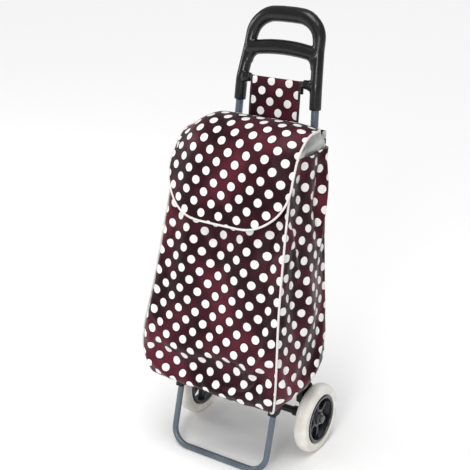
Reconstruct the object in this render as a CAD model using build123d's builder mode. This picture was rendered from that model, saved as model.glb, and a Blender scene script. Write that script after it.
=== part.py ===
from build123d import *
import os
from math import cos, radians, sin, sqrt, tan

os.makedirs("parts", exist_ok=True)

# A two-wheeled shopping trolley. Millimetres, +Z up, front towards -Y, the
# origin on the floor under the middle of the trolley.

# ---- driving dimensions ----
# clearances
running_gap = 0.05
seat_gap = 0.3

# wheels and axle
axle_y = 35.1
wheel_r = 75.0
track = 300.0
tyre_width = 30.0
tyre_bore_r = 52.0
tyre_round = 13.0
hub_rim_r = 45.5
hub_rim_width = 26.0
hub_boss_r = 14.0
hub_boss_width = 24.0
hub_web = 9.0
spoke_count = 6
spoke_width = 12.0
bush_wall = 3.0
axle_r = 5.0
washer_r = 10.0
washer_thick = 1.5
cap_r = 9.0
cap_width = 4.5
cap_round = 1.5

# uprights: their axes start at the foot and lean back and inward
foot_inset = 9.0
foot_behind = 2.0
foot_rise = 35.0
lean = 6.2
upright_r = 8.0
upright_wall = 1.2
socket_depth = 46.0
neck_x = 89.5
neck_up = 619.0
cross_bar_r = 6.0
cross_bar_ups = {"lower": 120.0, "upper": 400.0}

# handle, a moulding that bends back above the uprights
handle_bend = 9.5
leg_r = 12.3
grip_r = 15.0
shoulder_x = 80.0
shoulder_rise = 45.0
crossbar_rise = 71.0
arch_rise = 137.0
arch_taper = 3.0
arch_corner = 46.0
leg_bend_r = 90.0
crossbar_r = 15.0
crossbar_bow = 8.0
lug_r = 9.5
rod_r = 3.0
rod_ahead = 6.0
rod_up = 50.0
lug_inner_x = 62.0
screw_r = 2.0
screw_head_r = 4.0
handle_screw_up = 23.0

# wheel brackets
wheel_gap = 2.0
plate_thick = 10.0
axle_lobe_r = 17.0
pivot_ahead = 22.0
pivot_rise = 87.0
pivot_lobe_r = 14.0
rear_lobe_behind = 3.0
rear_lobe_rise = 64.0
rear_lobe_r = 11.0
socket_wall = 4.0
socket_drop = 6.0
socket_top_rise = 97.0
sleeve_r = 8.0
sleeve_socket_r = 11.0
sleeve_socket_depth = 26.0
ledge_length = 8.0
ledge_height = 8.0
bolt_r = 2.5
bolt_head_r = 4.5
bolt_head = 3.0
overrun = 1.0
bracket_bolt_rise = 71.0

# stand
stand_r = 6.5
stand_wall = 1.2
stand_reach = 155.0
stand_lean = 15.7
stand_corner_r = 38.0
arm_rise = 98.0
arm_gap = 0.4
arm_elbow_r = 28.0
crank_ahead = 54.0
crank_r = 40.0
eye_r = 9.0
pivot_r = 4.0
pivot_head_r = 7.0
pivot_head = 3.5
corner_width = 17.0
corner_drop = 43.0
corner_back = 40.0
corner_wall = 2.6
corner_pad = 1.7

# bag: sections as share of the height, half width and front distance from the axle
cloth = 3.0
rim_below_rod = 110.0
bag_shape = [(0.0, 156.0, 186.0), (0.13, 168.0, 196.0), (0.45, 156.0, 171.0), (1.0, 140.0, 103.0)]
bag_corner_r = 22.0
back_clear = 4.0
collar_below = 25.0
collar_above = 19.0
collar_thick = 2.0
board_thick = 3.0
board_margin = 6.0
board_rear_ahead = 44.0
piping_r = 2.2
yoke_below = 65.0
yoke_above = 29.0
yoke_inset = 15.0
tab_clear = 4.0
tab_thick = 2.5
hem_drop = 24.0
strap_drops = (82.0, 365.0)
strap_width = 25.0
strap_thick = 2.0

# lid flap: its side view runs from the back seam over the mouth and down
flap_overhang = 6.0
flap_seam_rise = 27.0
flap_path = [(0.0, 0.0), (73.0, 27.0), (137.0, 19.0), (173.0, -51.0), (197.0, -161.0)]
flap_bend_r = 45.0
flap_thick = 3.0
flap_hem_r = 1.9
flap_tip_r = 95.0
flap_edge = 2.4
flap_piping_r = 2.6

# ---- places worked out from them ----
plate_inner_x = track / 2 - tyre_width / 2 - wheel_gap - plate_thick
foot_x = plate_inner_x - foot_inset
foot_y = axle_y + foot_behind
foot_z = wheel_r + foot_rise
pivot_z = wheel_r + pivot_rise
rear_lobe_z = wheel_r + rear_lobe_rise
socket_top_z = wheel_r + socket_top_rise
bracket_bolt_z = wheel_r + bracket_bolt_rise
arm_z = wheel_r + arm_rise
upright_length = neck_up + socket_depth
shoulder_up = neck_up + shoulder_rise
frame_up = Vector(0, sin(radians(lean)), cos(radians(lean)))
frame_plane = Plane(
    origin=(0, foot_y, foot_z),
    x_dir=(1, 0, 0),
    z_dir=(0, -cos(radians(lean)), sin(radians(lean))),
)
handle_lean = lean + handle_bend
handle_plane = Plane(
    origin=frame_plane.from_local_coords((0, shoulder_up, 0)),
    x_dir=(1, 0, 0),
    z_dir=(0, -cos(radians(handle_lean)), sin(radians(handle_lean))),
)
wheel_plane = Plane(origin=(0, axle_y, wheel_r), x_dir=(1, 0, 0), z_dir=(0, -1, 0))
axle_line = Axis((0, axle_y, wheel_r), (1, 0, 0))
side_view = Plane.YZ
taper = (foot_x - neck_x) / neck_up
plate_outer_x = plate_inner_x + plate_thick
pivot_y = axle_y - pivot_ahead
arm_x = plate_inner_x - arm_gap - stand_r
bar_y = axle_y - stand_reach
corner_y = bar_y + (arm_z - stand_r) * tan(radians(stand_lean))
boss_half = hub_boss_width / 2
bush_r = axle_r + running_gap + bush_wall
socket_r = upright_r + running_gap + socket_wall
back_gap = upright_r + back_clear
rod_z = foot_z + (neck_up + rod_up) * cos(radians(lean))
bag_floor_z = arm_z + stand_r + corner_pad + seat_gap
bag_rim_z = rod_z - rim_below_rod
bag_height = bag_rim_z - bag_floor_z
bag_sections = [(bag_floor_z + share * bag_height, half, front) for share, half, front in bag_shape]
rim_half_x = bag_shape[-1][1]
collar_low_z = bag_rim_z - collar_below
collar_top_z = bag_rim_z + collar_above
yoke_low_z = bag_rim_z - yoke_below
yoke_top_z = bag_rim_z + yoke_above
yoke_x = rim_half_x - yoke_inset
tab_x = lug_inner_x - tab_clear
flap_x = rim_half_x + flap_overhang
flap_seam_z = bag_rim_z + flap_seam_rise


def upright_x(distance_up):
    """Half spacing of the uprights at a distance up from the foot."""
    return foot_x - taper * distance_up


def upright_y(height):
    """Depth of the uprights' axes at a height above the floor."""
    return foot_y + (height - foot_z) * tan(radians(lean))


def bag_back_y(height):
    return upright_y(height) - back_gap


def on_frame(side, distance_up):
    """A point on an upright's axis."""
    return frame_plane.from_local_coords((side * upright_x(distance_up), distance_up, 0))


def bar(start, end, radius, mode=Mode.ADD):
    """A round bar between two points, in the part that is being built."""
    start = Vector(start)
    run = Vector(end) - start
    with BuildSketch(Plane(origin=start, z_dir=run)) as section:
        Circle(radius)
    extrude(section.sketch, amount=run.length, mode=mode)


def ring(x_from, x_to, outer, inner, y=axle_y, z=wheel_r):
    """A washer, tube or bush lying along X."""
    bar((x_from, y, z), (x_to, y, z), outer)
    bar((-track, y, z), (track, y, z), inner, mode=Mode.SUBTRACT)


def bag_section(height, inset=0.0):
    """Half width, front and back of the bag at a height, between its sections."""
    for low, high in zip(bag_sections, bag_sections[1:]):
        if height <= high[0] or high is bag_sections[-1]:
            part_way = (height - low[0]) / (high[0] - low[0])
            half = low[1] + part_way * (high[1] - low[1])
            front = low[2] + part_way * (high[2] - low[2])
            return half - inset, axle_y - front + inset, bag_back_y(height) - inset


def bag_outline(height, inset=0.0):
    """The bag's rounded section at a height, as a sketch."""
    half, front, back = bag_section(height, inset)
    with BuildSketch(Plane.XY.offset(height)) as section:
        with Locations((0, (front + back) / 2)):
            RectangleRounded(2 * half, back - front, bag_corner_r - inset)
    return section.sketch


def save(piece, name):
    piece.part.label = name
    export_step(piece.part, f"parts/{name}.step")


# ---- wheels: a foam tyre on a spoked hub, turning on a plain bush ----
for side, name in ((1, "left"), (-1, "right")):
    wheel_x = side * track / 2

    with BuildPart() as tyre:
        with BuildSketch(wheel_plane) as tyre_section:
            with Locations((wheel_x, (wheel_r + tyre_bore_r) / 2)):
                Rectangle(tyre_width, wheel_r - tyre_bore_r)
            tread = tyre_section.vertices().group_by(Axis.Y)[-1]
            fillet(tread, radius=tyre_round)
        revolve(axis=axle_line)
    save(tyre, f"tyre_{name}")

    with BuildPart() as hub:
        rim_half = hub_rim_width / 2
        ring(wheel_x - rim_half, wheel_x + rim_half, tyre_bore_r - running_gap, hub_rim_r)
        bar((wheel_x - boss_half, axle_y, wheel_r), (wheel_x + boss_half, axle_y, wheel_r), hub_boss_r)
        spoke_plane = Plane(origin=(wheel_x, axle_y, wheel_r), z_dir=(1, 0, 0))
        spoke_out = (hub_rim_r + tyre_bore_r) / 2
        with BuildSketch(spoke_plane) as spokes:
            with PolarLocations(0, spoke_count):
                with Locations((spoke_out / 2, 0)):
                    Rectangle(spoke_out, spoke_width)
        extrude(spokes.sketch, amount=hub_web / 2, both=True)
        bar(
            (wheel_x - track, axle_y, wheel_r),
            (wheel_x + track, axle_y, wheel_r),
            bush_r + running_gap,
            mode=Mode.SUBTRACT,
        )
    save(hub, f"hub_{name}")

    with BuildPart() as bush:
        ring(wheel_x - boss_half, wheel_x + boss_half, bush_r, axle_r + running_gap)
    save(bush, f"bush_{name}")

# ---- axle, with what spaces and holds the wheels on it ----
boss_inner_x = track / 2 - boss_half
boss_outer_x = track / 2 + boss_half
washer_x = boss_outer_x + seat_gap
cap_x = washer_x + washer_thick
cap_end_x = cap_x + cap_width

with BuildPart() as axle:
    axle_end = cap_x + cap_width / 2
    bar((-axle_end, axle_y, wheel_r), (axle_end, axle_y, wheel_r), axle_r)
save(axle, "axle")

with BuildPart() as axle_spacers:
    for side in (1, -1):
        ring(side * plate_outer_x, side * (boss_inner_x - seat_gap), washer_r, axle_r + running_gap)
save(axle_spacers, "axle_spacers")

with BuildPart() as axle_washers:
    for side in (1, -1):
        ring(side * washer_x, side * cap_x, washer_r, axle_r + running_gap)
save(axle_washers, "axle_washers")

with BuildPart() as axle_caps:
    for side in (1, -1):
        bar((side * cap_x, axle_y, wheel_r), (side * cap_end_x, axle_y, wheel_r), cap_r)
    rims = axle_caps.edges().filter_by(GeomType.CIRCLE).group_by(Axis.X)
    fillet(rims[0] + rims[-1], radius=cap_round)
    bar((-axle_end, axle_y, wheel_r), (axle_end, axle_y, wheel_r), axle_r + running_gap, mode=Mode.SUBTRACT)
save(axle_caps, "axle_caps")

with BuildPart() as axle_sleeve:
    ring(-plate_inner_x, plate_inner_x, sleeve_r, axle_r + running_gap)
save(axle_sleeve, "axle_sleeve")

# ---- wheel brackets: a plate with sockets for the upright and the sleeve ----
sleeve_screw_x = plate_inner_x - sleeve_socket_depth / 2

for side, name in ((1, "left"), (-1, "right")):
    with BuildPart() as bracket:
        plate_plane = Plane(origin=(side * plate_inner_x, 0, 0), x_dir=(0, 1, 0), z_dir=(1, 0, 0))
        with BuildSketch(plate_plane) as plate:
            with BuildLine():
                for y, z, r in (
                    (axle_y, wheel_r, axle_lobe_r),
                    (pivot_y, pivot_z, pivot_lobe_r),
                    (axle_y + rear_lobe_behind, rear_lobe_z, rear_lobe_r),
                ):
                    CenterArc((y, z), r, 0, 360)
            make_hull()
        extrude(plate.sketch, amount=side * plate_thick)
        socket_from = on_frame(side, -socket_drop)
        socket_to = on_frame(side, (socket_top_z - foot_z) / cos(radians(lean)))
        bar(socket_from, socket_to, socket_r)
        bar((side * (plate_inner_x - sleeve_socket_depth), axle_y, wheel_r),
            (side * plate_inner_x, axle_y, wheel_r), sleeve_socket_r)
        with BuildSketch(Plane(origin=(side * arm_x, 0, 0), x_dir=(0, 1, 0), z_dir=(1, 0, 0))) as ledge:
            ledge_top = pivot_z - stand_r - seat_gap
            with Locations((pivot_y - eye_r - ledge_length / 2 - overrun, ledge_top - ledge_height / 2)):
                Rectangle(ledge_length, ledge_height)
        extrude(ledge.sketch, amount=side * (plate_inner_x - arm_x + overrun))
        bar(on_frame(side, 0), on_frame(side, upright_length), upright_r + running_gap, mode=Mode.SUBTRACT)
        bar((-side * track, axle_y, wheel_r), (side * plate_inner_x, axle_y, wheel_r),
            sleeve_r + running_gap, mode=Mode.SUBTRACT)
        bar((0, axle_y, wheel_r), (side * track, axle_y, wheel_r), axle_r + running_gap, mode=Mode.SUBTRACT)
        bar((0, pivot_y, pivot_z), (side * track, pivot_y, pivot_z), pivot_r + running_gap, mode=Mode.SUBTRACT)
        bolt_x = side * upright_x((bracket_bolt_z - foot_z) / cos(radians(lean)))
        bar((bolt_x, axle_y - track, bracket_bolt_z), (bolt_x, axle_y + track, bracket_bolt_z),
            bolt_r + running_gap, mode=Mode.SUBTRACT)
        screw_x = side * sleeve_screw_x
        bar((screw_x, axle_y, wheel_r), (screw_x, axle_y, 0), screw_r + running_gap, mode=Mode.SUBTRACT)
    save(bracket, f"bracket_{name}")

bolt_half = upright_x((bracket_bolt_z - foot_z) / cos(radians(lean)))
bolt_front = upright_y(bracket_bolt_z) - (socket_r + overrun) / cos(radians(lean))
bolt_back = upright_y(bracket_bolt_z) + (socket_r + overrun) / cos(radians(lean))

with BuildPart() as bracket_bolts:
    for side in (1, -1):
        bolt_x = side * bolt_half
        bar((bolt_x, bolt_front - bolt_head, bracket_bolt_z), (bolt_x, bolt_back, bracket_bolt_z), bolt_r)
        bar((bolt_x, bolt_back, bracket_bolt_z), (bolt_x, bolt_back + bolt_head, bracket_bolt_z), bolt_head_r)
save(bracket_bolts, "bracket_bolts")

with BuildPart() as bracket_nuts:
    with BuildSketch(Plane.XZ.offset(-bolt_front)) as nut_section:
        with Locations((bolt_half, bracket_bolt_z), (-bolt_half, bracket_bolt_z)):
            RegularPolygon(bolt_head_r, 6)
            Circle(bolt_r + running_gap, mode=Mode.SUBTRACT)
    extrude(nut_section.sketch, amount=bolt_head)
save(bracket_nuts, "bracket_nuts")

with BuildPart() as sleeve_screws:
    for side in (1, -1):
        screw_x = side * sleeve_screw_x
        head_z = wheel_r - sleeve_socket_r
        bar((screw_x, axle_y, wheel_r - sleeve_r - running_gap), (screw_x, axle_y, head_z - overrun), screw_r)
        bar((screw_x, axle_y, head_z - seat_gap), (screw_x, axle_y, head_z - bolt_head), screw_head_r)
save(sleeve_screws, "sleeve_screws")

# ---- uprights and the bars between them ----
for side, name in ((1, "left"), (-1, "right")):
    with BuildPart() as upright:
        bar(on_frame(side, 0), on_frame(side, upright_length), upright_r)
        bar(on_frame(side, -overrun), on_frame(side, upright_length + overrun), upright_r - upright_wall,
            mode=Mode.SUBTRACT)
        bolt_x = side * bolt_half
        bar((bolt_x, axle_y - track, bracket_bolt_z), (bolt_x, axle_y + track, bracket_bolt_z),
            bolt_r + running_gap, mode=Mode.SUBTRACT)
        screw_at = on_frame(side, neck_up + handle_screw_up)
        bar(screw_at, screw_at - frame_plane.z_dir * leg_r * 2, screw_r + running_gap, mode=Mode.SUBTRACT)
    save(upright, f"upright_{name}")

for name, distance_up in cross_bar_ups.items():
    with BuildPart() as cross_bar:
        bar(on_frame(-1, distance_up), on_frame(1, distance_up), cross_bar_r)
        bar(on_frame(-1, distance_up), on_frame(1, distance_up), cross_bar_r - upright_wall, mode=Mode.SUBTRACT)
        for side in (1, -1):
            bar(on_frame(side, 0), on_frame(side, upright_length), upright_r + running_gap,
                mode=Mode.SUBTRACT)
    save(cross_bar, f"cross_bar_{name}")

# ---- handle ----
rod_at_y = upright_y(rod_z) - rod_ahead
leg_top_x = shoulder_x - arch_taper


def on_handle(x, rise):
    return handle_plane.from_local_coords((x, rise, 0))


with BuildPart() as handle:
    left_leg = [
        on_frame(1, neck_up),
        on_frame(1, shoulder_up),
        on_handle(shoulder_x, crossbar_rise),
        on_handle(leg_top_x, arch_rise),
    ]
    right_leg = [Vector(-point.X, point.Y, point.Z) for point in reversed(left_leg)]
    with BuildLine() as loop_line:
        FilletPolyline(
            *left_leg,
            *right_leg,
            radius=[leg_bend_r, leg_bend_r, arch_corner, arch_corner, leg_bend_r, leg_bend_r],
        )
    with BuildSketch(Plane(origin=loop_line.line @ 0, z_dir=loop_line.line % 0)) as leg_section:
        Circle(leg_r)
    sweep(leg_section.sketch, path=loop_line.line)
    with BuildLine(handle_plane) as grip_line:
        ThreePointArc((-shoulder_x, crossbar_rise - crossbar_bow), (0, crossbar_rise),
                      (shoulder_x, crossbar_rise - crossbar_bow))
    with BuildSketch(Plane(origin=grip_line.line @ 0, z_dir=grip_line.line % 0)) as grip_section:
        Circle(crossbar_r)
    sweep(grip_section.sketch, path=grip_line.line)
    top_grip_x = leg_top_x - arch_corner
    bar(on_handle(-top_grip_x, arch_rise), on_handle(top_grip_x, arch_rise), grip_r)
    for side in (1, -1):
        lug_leg = on_frame(side, (rod_z - foot_z) / cos(radians(lean)) - lug_r)
        bar((side * lug_inner_x, rod_at_y, rod_z), (side * shoulder_x, rod_at_y, rod_z), lug_r)
        bar((side * (lug_inner_x + lug_r), rod_at_y, rod_z), lug_leg, lug_r)
    for side in (1, -1):
        bar(on_frame(side, 0), on_frame(side, upright_length), upright_r + running_gap, mode=Mode.SUBTRACT)
        screw_at = on_frame(side, neck_up + handle_screw_up)
        bar(screw_at, screw_at - frame_plane.z_dir * leg_r * 2, screw_r + running_gap, mode=Mode.SUBTRACT)
        bar((0, rod_at_y, rod_z), (side * (lug_inner_x + lug_r), rod_at_y, rod_z),
            rod_r + running_gap, mode=Mode.SUBTRACT)
save(handle, "handle")

with BuildPart() as handle_screws:
    for side in (1, -1):
        screw_at = on_frame(side, neck_up + handle_screw_up)
        back = frame_plane.z_dir * -1
        bar(screw_at + back * (upright_r - upright_wall), screw_at + back * (leg_r + overrun), screw_r)
        bar(screw_at + back * (leg_r + seat_gap / 2), screw_at + back * (leg_r + bolt_head), screw_head_r)
save(handle_screws, "handle_screws")

with BuildPart() as hanger_rod:
    rod_end = lug_inner_x + lug_r
    bar((-rod_end, rod_at_y, rod_z), (rod_end, rod_at_y, rod_z), rod_r)
save(hanger_rod, "hanger_rod")

# ---- stand: one bent tube with an eye at each end ----
with BuildPart() as stand:
    half_route = [
        (arm_x, pivot_y, pivot_z),
        (arm_x, axle_y - crank_ahead, arm_z),
        (arm_x, corner_y, arm_z),
        (arm_x, bar_y, stand_r),
    ]
    route = half_route + [(-x, y, z) for x, y, z in reversed(half_route)]
    with BuildLine() as stand_line:
        FilletPolyline(
            *route,
            radius=[crank_r, arm_elbow_r, stand_corner_r, stand_corner_r, arm_elbow_r, crank_r],
        )
    stand_start = Plane(origin=stand_line.line @ 0, z_dir=stand_line.line % 0)
    with BuildSketch(stand_start) as stand_section:
        Circle(stand_r)
        Circle(stand_r - stand_wall, mode=Mode.SUBTRACT)
    sweep(stand_section.sketch, path=stand_line.line)
    for side in (1, -1):
        bar((side * (arm_x - stand_r), pivot_y, pivot_z), (side * (arm_x + stand_r), pivot_y, pivot_z), eye_r)
        bar((0, pivot_y, pivot_z), (side * track, pivot_y, pivot_z), pivot_r + running_gap, mode=Mode.SUBTRACT)
save(stand, "stand")

with BuildPart() as tube_core:
    with BuildSketch(stand_start) as core_section:
        Circle(stand_r + running_gap)
    sweep(core_section.sketch, path=stand_line.line)

for side, name in ((1, "left"), (-1, "right")):
    slope = tan(radians(stand_lean))
    low_z = arm_z - corner_drop
    low_y = corner_y - corner_drop * slope
    leg_half = (stand_r + corner_wall) / cos(radians(stand_lean))
    pad_top = arm_z + stand_r + corner_pad
    under_arm = arm_z - stand_r - corner_wall
    with BuildPart() as corner:
        start_x = side * arm_x - corner_width / 2
        with BuildSketch(Plane(origin=(start_x, 0, 0), x_dir=(0, 1, 0), z_dir=(1, 0, 0))) as web:
            with BuildLine():
                Polyline(
                    (low_y - leg_half, low_z),
                    (low_y + leg_half, low_z),
                    (corner_y + corner_back, under_arm),
                    (corner_y + corner_back, pad_top),
                    (corner_y - leg_half + slope * (pad_top - arm_z), pad_top),
                    close=True,
                )
            make_face()
            fillet(web.vertices().group_by(Axis.Y)[-1].sort_by(Axis.X)[0], radius=stand_r)
        extrude(web.sketch, amount=corner_width)
        add(tube_core.part, mode=Mode.SUBTRACT)
    save(corner, f"stand_corner_{name}")

with BuildPart() as stand_pivots:
    for side in (1, -1):
        inner = arm_x - stand_r
        bar((side * (inner - pivot_head), pivot_y, pivot_z), (side * inner, pivot_y, pivot_z), pivot_head_r)
        bar((side * inner, pivot_y, pivot_z), (side * (plate_outer_x + pivot_head), pivot_y, pivot_z), pivot_r)
save(stand_pivots, "stand_pivots")

with BuildPart() as stand_pivot_nuts:
    for side in (1, -1):
        with BuildSketch(Plane(origin=(side * plate_outer_x, pivot_y, pivot_z), z_dir=(side, 0, 0))) as nut:
            RegularPolygon(pivot_head_r, 6)
            Circle(pivot_r + running_gap, mode=Mode.SUBTRACT)
        extrude(nut.sketch, amount=pivot_head)
save(stand_pivot_nuts, "stand_pivot_nuts")

# ---- bag ----
with BuildPart() as bag_body:
    outlines = [bag_outline(height) for height, half, front in bag_sections]
    loft(outlines, ruled=True)
    hollow_heights = [bag_floor_z + cloth] + [s[0] for s in bag_sections[1:]]
    hollows = [bag_outline(height, cloth) for height in hollow_heights]
    loft(hollows, ruled=True, mode=Mode.SUBTRACT)
save(bag_body, "bag_body")

with BuildPart() as bag_collar:
    collar_inset = cloth + seat_gap
    loft([bag_outline(z, collar_inset) for z in (collar_low_z, collar_top_z)], ruled=True)
    collar_inset = collar_inset + collar_thick
    loft([bag_outline(z, collar_inset) for z in (collar_low_z, collar_top_z)], ruled=True, mode=Mode.SUBTRACT)
save(bag_collar, "bag_collar")

with BuildPart() as base_board:
    board_z = bag_floor_z + cloth + seat_gap
    half, front, back = bag_section(board_z, cloth + board_margin)
    board_rear = axle_y - board_rear_ahead
    with BuildSketch(Plane.XY.offset(board_z)) as board:
        with Locations((0, (front + board_rear) / 2)):
            RectangleRounded(2 * half, board_rear - front, bag_corner_r - cloth)
    extrude(board.sketch, amount=board_thick)
save(base_board, "base_board")

corner_offset = bag_corner_r * (1 - 1 / sqrt(2)) - (piping_r + 2 * seat_gap) / sqrt(2)
for side, name in ((1, "left"), (-1, "right")):
    piping_points = []
    for height in [bag_floor_z + bag_corner_r] + [s[0] for s in bag_sections[1:-1]] + [bag_rim_z - cloth]:
        half, front, back = bag_section(height)
        piping_points.append((side * (half - corner_offset), front + corner_offset, height))
    with BuildPart() as piping:
        with BuildLine() as piping_line:
            FilletPolyline(*piping_points, radius=bag_corner_r)
        with BuildSketch(Plane(origin=piping_line.line @ 0, z_dir=piping_line.line % 0)) as piping_section:
            Circle(piping_r)
        sweep(piping_section.sketch, path=piping_line.line)
    save(piping, f"bag_piping_{name}")

with BuildPart() as bag_tab:
    yoke_near = seat_gap
    yoke_far = seat_gap + tab_thick
    inner_r = rod_r + seat_gap
    outer_r = inner_r + tab_thick
    with BuildSketch(side_view) as yoke_side:
        with BuildLine():
            Polyline(
                (bag_back_y(yoke_low_z) + yoke_near, yoke_low_z),
                (bag_back_y(yoke_low_z) + yoke_far, yoke_low_z),
                (bag_back_y(yoke_top_z) + yoke_far, yoke_top_z),
                (bag_back_y(yoke_top_z) + yoke_near, yoke_top_z),
                close=True,
            )
        make_face()
    extrude(yoke_side.sketch, amount=yoke_x, both=True)
    tab_foot_z = yoke_top_z - 2 * cloth
    with BuildSketch(side_view) as tab_side:
        with BuildLine():
            outer = CenterArc((rod_at_y, rod_z), outer_r, 180, -180)
            inner = CenterArc((rod_at_y, rod_z), inner_r, 180, -180)
            Polyline(
                outer @ 0,
                (rod_at_y - outer_r, rod_z - lug_r),
                (bag_back_y(tab_foot_z) + yoke_near, tab_foot_z),
                (bag_back_y(tab_foot_z) + yoke_far, tab_foot_z),
                (rod_at_y - inner_r, rod_z - lug_r),
                inner @ 0,
            )
            Polyline(
                outer @ 1,
                (rod_at_y + outer_r, rod_z - hem_drop),
                (rod_at_y + inner_r, rod_z - hem_drop),
                inner @ 1,
            )
        make_face()
    extrude(tab_side.sketch, amount=tab_x, both=True)
save(bag_tab, "bag_tab")

with BuildPart() as bag_straps:
    for side in (1, -1):
        for strap_drop in strap_drops:
            distance_up = (bag_rim_z - strap_drop - foot_z) / cos(radians(lean)) - strap_width
            low = on_frame(side, distance_up)
            high = on_frame(side, distance_up + strap_width)
            strap_r = upright_r + seat_gap + strap_thick
            bar(low, high, strap_r)
            tongue_plane = Plane(origin=low, x_dir=(1, 0, 0), z_dir=frame_up)
            reach = (back_gap - seat_gap) * cos(radians(lean))
            with BuildSketch(tongue_plane) as tongue:
                with Locations((0, -reach / 2)):
                    Rectangle(strap_width, reach)
            extrude(tongue.sketch, amount=strap_width)
            bar(on_frame(side, distance_up - overrun), on_frame(side, distance_up + strap_width + overrun),
                upright_r + seat_gap, mode=Mode.SUBTRACT)
save(bag_straps, "bag_straps")

# ---- lid flap ----
seam_y = bag_back_y(flap_seam_z) - flap_hem_r
flap_points = [(seam_y - ahead_by, flap_seam_z + rise) for ahead_by, rise in flap_path]
flap_tip_z = flap_points[-1][1]
flap_top_z = flap_seam_z + track


def flap_ribbon(thickness, half_width):
    """The flap's side view, made as wide as asked."""
    with BuildSketch(side_view) as ribbon:
        with BuildLine():
            FilletPolyline(*flap_points, radius=flap_bend_r)
        trace(line_width=thickness)
    extrude(ribbon.sketch, amount=half_width, both=True)


def flap_outline(grow):
    """The flap's front view: straight sides and a round-cornered tip."""
    low = flap_tip_z - grow
    with BuildSketch(Plane.XZ) as outline:
        with Locations((0, (low + flap_top_z) / 2)):
            Rectangle(2 * (flap_x + grow), flap_top_z - low)
        fillet(outline.vertices().group_by(Axis.Y)[0], radius=flap_tip_r + grow)
    return outline.sketch


with BuildPart() as flap:
    flap_ribbon(flap_thick, flap_x)
    bar((-flap_x, seam_y, flap_seam_z), (flap_x, seam_y, flap_seam_z), flap_hem_r)
    extrude(flap_outline(0), amount=track, both=True, mode=Mode.INTERSECT)
save(flap, "flap")

with BuildPart() as flap_piping:
    flap_ribbon(2 * flap_piping_r, flap_x + flap_edge)
    extrude(flap_outline(flap_edge), amount=track, both=True, mode=Mode.INTERSECT)
    extrude(flap_outline(running_gap), amount=track, both=True, mode=Mode.SUBTRACT)
save(flap_piping, "flap_piping")
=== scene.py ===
import math

import bpy
from mathutils import Matrix, Vector, noise


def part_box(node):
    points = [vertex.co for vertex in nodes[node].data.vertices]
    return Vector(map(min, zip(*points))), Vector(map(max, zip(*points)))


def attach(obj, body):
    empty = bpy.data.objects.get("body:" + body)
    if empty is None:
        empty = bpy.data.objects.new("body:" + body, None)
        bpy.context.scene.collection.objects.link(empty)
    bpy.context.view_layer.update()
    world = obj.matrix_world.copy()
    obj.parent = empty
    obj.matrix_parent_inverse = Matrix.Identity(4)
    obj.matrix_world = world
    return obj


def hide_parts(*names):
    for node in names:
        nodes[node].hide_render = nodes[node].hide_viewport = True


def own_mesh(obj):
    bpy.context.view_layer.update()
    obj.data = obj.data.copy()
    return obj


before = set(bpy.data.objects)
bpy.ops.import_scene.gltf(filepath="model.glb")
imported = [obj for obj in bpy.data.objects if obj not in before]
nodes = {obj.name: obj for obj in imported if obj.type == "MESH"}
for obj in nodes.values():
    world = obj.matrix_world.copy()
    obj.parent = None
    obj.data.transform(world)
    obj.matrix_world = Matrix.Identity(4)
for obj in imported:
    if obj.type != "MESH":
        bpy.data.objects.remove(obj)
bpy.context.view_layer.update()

# A shopping trolley: a sewn satin bag on a two-wheeled tube frame. Metres, the
# front towards -Y, the floor at zero.

# ---- sizes shared by several pieces ----
LEAN = math.radians(6.2)
HANDLE_LEAN = math.radians(15.7)
LEAN_SLOPE = math.tan(LEAN)
UPRIGHT_FOOT = (0.0371, 0.11)
BAG_BEHIND = 0.012
BAG_FLOOR = 0.1815
BAG_RIM = 0.6651
# Stops of (height, size), read with eased().
BAG_HALF = ((0.1815, 0.156), (0.2444, 0.166), (0.3991, 0.157), (0.6651, 0.140))
BAG_FRONT = ((0.1815, -0.1509), (0.2444, -0.1600), (0.3991, -0.1359), (0.6651, -0.0679))
SEAM_TUCK = 0.0058
SEAM_BACK = {1: 0.0046, -1: 0.0200}  # how far behind the front's face each seam lies
FLOOR_ROUND = 0.016
FLAP_X = 0.146
FLAP_SIDE = ((0.0864, 0.6921), (0.0480, 0.7110), (0.0134, 0.7188), (-0.0270, 0.7140),
             (-0.0600, 0.6900), (-0.0820, 0.6480), (-0.0960, 0.5950), (-0.1106, 0.5311))
FLAP_TIP_ROUND = 0.100
DOT_PITCH = 0.0415
DOT_RADIUS = 0.0085


# ---- how meshes are handled ----
def only(piece):
    bpy.ops.object.select_all(action="DESELECT")
    piece.select_set(True)
    bpy.context.view_layer.objects.active = piece


def with_modifier(piece, kind, **settings):
    """Adds a modifier and applies it."""
    only(piece)
    modifier = piece.modifiers.new(kind.lower(), kind)
    for name, value in settings.items():
        setattr(modifier, name, value)
    bpy.ops.object.modifier_apply(modifier=modifier.name)


def in_edit(piece, *steps):
    """Runs edit-mode steps on the whole mesh."""
    only(piece)
    bpy.ops.object.mode_set(mode="EDIT")
    bpy.ops.mesh.select_all(action="SELECT")
    for step in steps:
        step()
    bpy.ops.object.mode_set(mode="OBJECT")


def merge():
    bpy.ops.mesh.remove_doubles(threshold=0.00001)


def face_out():
    bpy.ops.mesh.normals_make_consistent(inside=False)


def turn_over():
    bpy.ops.mesh.flip_normals()


def smooth(piece, degrees=180.0):
    only(piece)
    bpy.ops.object.shade_smooth_by_angle(angle=math.radians(degrees))


def joined(name, pieces):
    bpy.ops.object.select_all(action="DESELECT")
    for piece in pieces:
        piece.select_set(True)
    bpy.context.view_layer.objects.active = pieces[0]
    bpy.ops.object.join()
    pieces[0].name = name
    pieces[0].data.name = name
    return pieces[0]


def paint(piece, *finishes):
    piece.data.materials.clear()
    for finish in finishes:
        piece.data.materials.append(finish.material)


def place(piece, body, slot, *stands_for):
    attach(piece, body)
    if stands_for:
        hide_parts(*stands_for)


def copied(piece, name):
    twin = bpy.data.objects.new(name, piece.data.copy())
    bpy.context.scene.collection.objects.link(twin)
    return twin


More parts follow.
